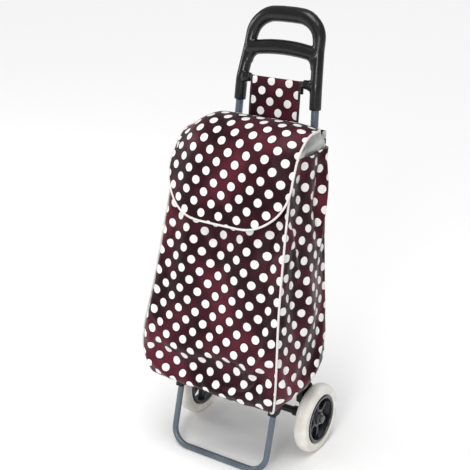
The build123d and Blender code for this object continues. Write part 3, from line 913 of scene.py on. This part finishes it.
def settle(piece, furthest):
    """Lets the cloth fall and fill a little, held at its seams."""
    before = [vertex.co.copy() for vertex in piece.data.vertices]
    only(piece)
    cloth = piece.modifiers.new("cloth", "CLOTH")
    cloth.settings.quality = 6
    cloth.settings.mass = 0.18
    cloth.settings.tension_stiffness = 14
    cloth.settings.compression_stiffness = 12
    cloth.settings.shear_stiffness = 5
    cloth.settings.bending_stiffness = 0.10
    cloth.settings.vertex_group_mass = "sewn"
    cloth.settings.shrink_min = -0.034
    cloth.settings.use_pressure = True
    cloth.settings.uniform_pressure_force = 0.28
    cloth.settings.effector_weights.gravity = 0.5
    cloth.collision_settings.use_collision = False
    cloth.point_cache.frame_end = SETTLE_FRAMES
    for moment in range(1, SETTLE_FRAMES + 1):
        bpy.context.scene.frame_set(moment)
    bpy.ops.object.modifier_apply(modifier=cloth.name)
    bpy.context.scene.frame_set(1)
    for vertex, start in zip(piece.data.vertices, before):
        moved = vertex.co - start
        if moved.length > furthest:
            vertex.co = start + moved * (furthest / moved.length)


def far_where(axis, value, low, high):
    """How far down the flap its line reaches a depth (axis 1) or a height (axis 2)."""
    for _ in range(18):
        middle = (low + high) / 2
        if flap_line(middle)[axis] > value:
            low = middle
        else:
            high = middle
    return (low + high) / 2


def under_flap(point, clear):
    """Where a point of the bag goes so that the flap lies over it."""
    if point.z < FLAP_TIP_Z or abs(point.x) > FLAP_X + 0.01:
        return point
    over_mouth = point.y > FLAP_NOSE_Y
    if over_mouth:
        far = far_where(1, point.y, 0.0, 0.150)
    else:
        far = far_where(2, point.z, 0.100, FLAP_LENGTH)
    width = max(flap_width(far), 0.02)
    loose = ramp(abs(point.x) - width, -0.006, 0.004) * 0.03
    across = min(max(point.x / width, -1.0), 1.0)
    tucked = 0.008 * ramp(-point.x, 0.085, 0.125) * ramp(point.z, 0.60, 0.65)
    clear += tucked
    point.x += tucked
    sheet = lay_flap(across, 1 - far / FLAP_LENGTH)[0]
    if over_mouth:
        return Vector((point.x, point.y, min(point.z, sheet.z - clear + loose)))
    return Vector((point.x, max(point.y, sheet.y + clear - loose), point.z))


def keep_under_flap(piece, clear):
    for vertex in piece.data.vertices:
        vertex.co = under_flap(vertex.co, clear)


def sewn_bag():
    cuts = [
        ("bag_front", 46, 64, measured(lay_front, 64), False),
        ("bag_back", 46, 64, lay_back, True),
        ("bag_side_left", 30, 64, measured(lay_side(1), 64), False),
        ("bag_side_right", 30, 64, measured(lay_side(-1), 64), True),
    ]
    panels = []
    for name, columns, rows, lay, turned in cuts:
        piece = cloth_panel(name, columns, rows, lay)
        if turned:
            in_edit(piece, turn_over)
        places = [
            (-1 + 2 * (index % (columns + 1)) / columns, (index // (columns + 1)) / rows)
            for index in range(len(piece.data.vertices))
        ]
        seam_group(piece, places)
        panels.append(piece)
    floor_panel = cloth_panel("bag_floor", 46, 30, lay_floor)
    in_edit(floor_panel, turn_over)
    floor_panel.vertex_groups.new(name="sewn").add(
        range(len(floor_panel.data.vertices)), 1.0, "REPLACE"
    )
    bag = joined("bag_cloth", panels + [floor_panel])
    in_edit(bag, merge)
    settle(bag, FURTHEST_SETTLE)
    keep_under_flap(bag, 0.0050)
    bag.vertex_groups.clear()
    with_modifier(bag, "SUBSURF", levels=1, render_levels=1)
    paint(bag, dotted_satin, lining)
    with_modifier(bag, "SOLIDIFY", thickness=0.0012, offset=-1.0, material_offset=1, material_offset_rim=0)
    smooth(bag, 80)
    return bag


bag = sewn_bag()
place(bag, "frame", "satin", "bag_body")


# ---- piping on the bag's front corners, curling under at the foot ----
def bag_piping(side_name, side):
    points = []
    for step in range(61):
        z, tuck, _ = up_the_bag(step / 60 * 0.995)
        corner = seam_corner(side, z, tuck)
        points.append(corner + Vector((side * 0.0010, -0.0010, 0)))
    piece = tube(f"bag_piping_{side_name}_cord", points, 0.0022)
    paint(piece, white_cord)
    place(piece, "frame", "piping", f"bag_piping_{side_name}")
    return piece


bag_pipings = [bag_piping("left", 1), bag_piping("right", -1)]


# ---- collar: silvery lining gathered above the rim ----
COLLAR_CUT = (0.86, 0.056)
COLLAR_FOOT = 0.640
COLLAR_RISE = 0.052


def collar_ring(turn):
    """A point of the rim's rounded outline, and the way out from it."""
    across, along = math.cos(turn), math.sin(turn)
    half, front, back = 0.1338 + 0.0030 * ramp(along, 0.0, 0.6), -0.0595, 0.0750
    centre = (front + back) / 2
    power = 0.46 - 0.20 * ramp(along, 0.0, 0.5)
    x = math.copysign(abs(across) ** power, across) * half
    y = math.copysign(abs(along) ** power, along) * (back - front) / 2
    out = Vector((x / half**2, y / ((back - front) / 2) ** 2, 0)).normalized()
    return Vector((x, centre + y, 0)), out


def lay_collar(around, up):
    turn = math.pi * around
    foot, out = collar_ring(turn)
    swell = math.exp(-(((turn - 0.15) / 0.40) ** 2))
    rearward = math.sin(turn)
    corner_drop = 0.022 * ramp(rearward, 0.20, 0.50) * (1 - ramp(rearward, 0.75, 0.95))
    z = COLLAR_FOOT + up * (COLLAR_RISE + 0.022 * swell - corner_drop)
    gather = 0.0044 * math.sin(46 * turn) + 0.0022 * math.sin(27 * turn + 1.3)
    lean_out = 0.0125 * swell * math.sin(math.pi * min(up * 1.15, 1.0)) - 0.0045 * ramp(up, 0.5, 1.0)
    hem = 0.0012 * math.exp(-(((up - 0.93) / 0.05) ** 2))
    outward = gather * ramp(up, 0.25, 0.9) * 0.7 + lean_out * ramp(up, 0.3, 0.7) + hem - 0.0008
    point = foot + out * outward
    point.z = z + 0.0015 * math.sin(17 * turn) * up
    return point, (around * COLLAR_CUT[0] / 2, up * COLLAR_CUT[1])


def gathered_collar():
    piece = cloth_panel("collar_cloth", 300, 14, lay_collar)
    in_edit(piece, merge)
    keep_under_flap(piece, 0.0042)
    paint(piece, lining)
    with_modifier(piece, "SOLIDIFY", thickness=0.0009, offset=-1.0)
    smooth(piece, 80)
    place(piece, "frame", "lining", "bag_collar")
    return piece


collar = gathered_collar()


# ---- hanging tab: from the yoke behind the bag, up and over the rod ----
low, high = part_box("hanger_rod")
ROD = Vector((0, (low.y + high.y) / 2, (low.z + high.z) / 2))
TAB_HALF = 0.058
TAB_WRAP = 0.0046
tab_side = [(back_y(z) + 0.0016, z) for z in (0.600, 0.640, 0.685)]
tab_side += [(ROD.y - TAB_WRAP - 0.0035, ROD.z - 0.030), (ROD.y - TAB_WRAP - 0.0004, ROD.z - 0.008)]
tab_side += [
    (ROD.y - TAB_WRAP * math.cos(math.pi * step / 8), ROD.z + TAB_WRAP * math.sin(math.pi * step / 8))
    for step in range(9)
]
tab_side += [(ROD.y + TAB_WRAP, ROD.z - 0.010), (ROD.y + TAB_WRAP, ROD.z - 0.022)]
tab_y, tab_z = arc_stops(tab_side)
TAB_LENGTH = tab_y[-1][0]


def lay_tab(across, up):
    far = TAB_LENGTH * up
    x = TAB_HALF * across
    loose = ramp(far, 0.09, 0.12) * (1 - ramp(far, 0.16, 0.18))
    wave = 0.0010 * wrinkle(x, far, 0, 0.03, 17) * loose
    return Vector((x, eased(tab_y, far) + wave, eased(tab_z, far))), (x + 0.010, far + 0.012)


def lay_yoke(across, up):
    z = 0.601 + 0.092 * up
    x = 0.125 * across
    return Vector((x, back_y(z) + 0.0008 + 0.0006 * wrinkle(x, z, 0, 0.03, 19), z)), (x, z)


def lay_binding(side):
    """Tape folded over a side edge of the tab."""

    def lay(across, up):
        point, flat = lay_tab(side * 0.98, 0.02 + 0.975 * up)
        above = lay_tab(side * 0.98, min(0.03 + 0.975 * up, 1.0))[0]
        ahead = above - lay_tab(side * 0.98, 0.01 + 0.975 * up)[0]
        out = Vector((0, -ahead.z, ahead.y)).normalized()
        wrap = math.pi / 2 * across
        x = side * (TAB_HALF - 0.0032 + 0.0042 * max(math.cos(wrap), 0.0) ** 0.35)
        offset = 0.0013 * math.copysign(abs(math.sin(wrap)) ** 0.35, across)
        return Vector((x, point.y + out.y * offset, point.z + out.z * offset)), (across * 0.0085, flat[1])

    return lay


def hanging_tab():
    cloths = [cloth_panel("tab_cloth", 30, 90, lay_tab), cloth_panel("yoke_cloth", 60, 22, lay_yoke)]
    for cloth in cloths:
        in_edit(cloth, turn_over)
        paint(cloth, dotted_satin)
        with_modifier(cloth, "SOLIDIFY", thickness=0.0014, offset=0.0)
        smooth(cloth, 80)
        place(cloth, "frame", "satin", "bag_tab")
    edges = [cloth_panel("tab_edge", 12, 90, lay_binding(side)) for side in (1, -1)]
    binding = joined("tab_binding", edges)
    paint(binding, black_tape)
    with_modifier(binding, "SOLIDIFY", thickness=0.0006, offset=0.0)
    smooth(binding, 60)
    place(binding, "frame", "webbing")
    return cloths + [binding]


tab, yoke, binding = hanging_tab()


# ---- webbing straps round the uprights ----
STRAP_WRAP = 0.0093
STRAP_HALF = 0.0125
STRAP_DROPS = (0.082, 0.365)


def strap_loop(side, drop):
    """A loop from the bag's back round one upright, at a drop below the rim."""
    top = BAG_RIM - drop
    middle = (top - UPRIGHT_FOOT[1]) / math.cos(LEAN) - STRAP_HALF
    x = side * (0.114 - (0.114 - 0.0895) / 0.619 * middle)
    y = UPRIGHT_FOOT[0] + math.sin(LEAN) * middle
    z = UPRIGHT_FOOT[1] + math.cos(LEAN) * middle
    reach = BAG_BEHIND - 0.0012
    wrap = STRAP_WRAP
    turns = [math.pi * step / 12 for step in range(13)]
    path = [(-wrap - 0.006, -reach), (-wrap - 0.0008, -reach * 0.8), (-wrap, -reach * 0.35)]
    path += [(-wrap * math.cos(turn), wrap * math.sin(turn)) for turn in turns]
    path += [(wrap, -reach * 0.35), (wrap + 0.0008, -reach * 0.8), (wrap + 0.006, -reach)]
    across_x, across_y = arc_stops(path)
    length = across_x[-1][0]

    def lay(around, up):
        far = length * (around + 1) / 2
        height = STRAP_HALF * (2 * up - 1)
        out = eased(across_y, far)
        return Vector((
            x + eased(across_x, far),
            y + out * math.cos(LEAN) + height * math.sin(LEAN),
            z + height * math.cos(LEAN) - out * math.sin(LEAN),
        )), (far, height)

    return cloth_panel("strap_loop", 48, 6, lay)


def strap_loops():
    loops = [strap_loop(side, drop) for side in (1, -1) for drop in STRAP_DROPS]
    straps = joined("bag_straps_webbing", loops)
    paint(straps, black_tape)
    with_modifier(straps, "SOLIDIFY", thickness=0.0014, offset=0.0)
    smooth(straps, 60)
    place(straps, "frame", "webbing", "bag_straps")


strap_loops()


# ---- the flat area of the cloth cuts, and the cloth pieces given meshes of their own ----
def cut_area(piece):
    """The flat area of the cuts that the piece was sewn from, which it holds twice, outside and in."""
    flat = piece.data.uv_layers.active.data
    total = 0.0
    for face in piece.data.polygons:
        corners = [flat[index].uv for index in face.loop_indices]
        turned = corners[1:] + corners[:1]
        total += abs(sum(a.x * b.y - b.x * a.y for a, b in zip(corners, turned))) / 2
    return total / 2


cut_area(bag)
cut_area(flap)

FOLD_ANCHOR = (0, back_y(0.40), 0.40)
for piece in [bag, collar, flap, flap_piping, *bag_pipings]:
    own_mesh(piece)


# ---- floor, light and camera ----
def studio():
    bpy.ops.mesh.primitive_plane_add(size=40, location=(0, 0, 0))
    floor = bpy.context.object
    floor.name = "studio_floor"
    pale = Finish("studio_pale", {
        "Base Color": (0.90, 0.90, 0.90, 1),
        "Roughness": 0.9,
        "Specular IOR Level": 0.1,
    })
    paint(floor, pale)
    world = bpy.data.worlds.new("studio_air")
    bpy.context.scene.world = world
    world.use_nodes = True
    world.node_tree.nodes["Background"].inputs["Color"].default_value = (1, 1, 1, 1)
    world.node_tree.nodes["Background"].inputs["Strength"].default_value = 0.42
    sun = bpy.data.lights.new("overhead", "SUN")
    sun.energy = 1.95
    sun.angle = 0.7
    above = bpy.data.objects.new("overhead", sun)
    bpy.context.scene.collection.objects.link(above)
    above.rotation_euler = (math.radians(14), math.radians(6), 0)
    lamps = (
        ("key", (0.9, -3.0, 1.7), 0.9, 34.0),
        ("edge", (-2.6, -0.9, 1.6), 1.2, 20.0),
    )
    for name, where, size, power in lamps:
        light = bpy.data.lights.new(name, "AREA")
        light.shape = "DISK"
        light.size = size
        light.energy = power
        lamp = bpy.data.objects.new(name, light)
        bpy.context.scene.collection.objects.link(lamp)
        lamp.location = where
        aim = Vector((0, 0, 0.45)) - lamp.location
        lamp.rotation_euler = aim.to_track_quat("-Z", "Y").to_euler()


def camera():
    turn, tilt, far = math.radians(33.2), math.radians(21.1), 2.166
    target = Vector((-0.0567, 0.0351, 0.4502))
    back = Vector((math.sin(turn) * math.cos(tilt), -math.cos(turn) * math.cos(tilt), math.sin(tilt)))
    lens = bpy.data.cameras.new("camera")
    lens.lens = 78.4
    lens.sensor_width = 36
    lens.clip_end = 100
    eye = bpy.data.objects.new("camera", lens)
    bpy.context.scene.collection.objects.link(eye)
    eye.location = target + back * far
    eye.rotation_euler = (-back).to_track_quat("-Z", "Y").to_euler()
    bpy.context.scene.camera = eye
    bpy.context.scene.view_settings.view_transform = "Standard"


studio()
camera()
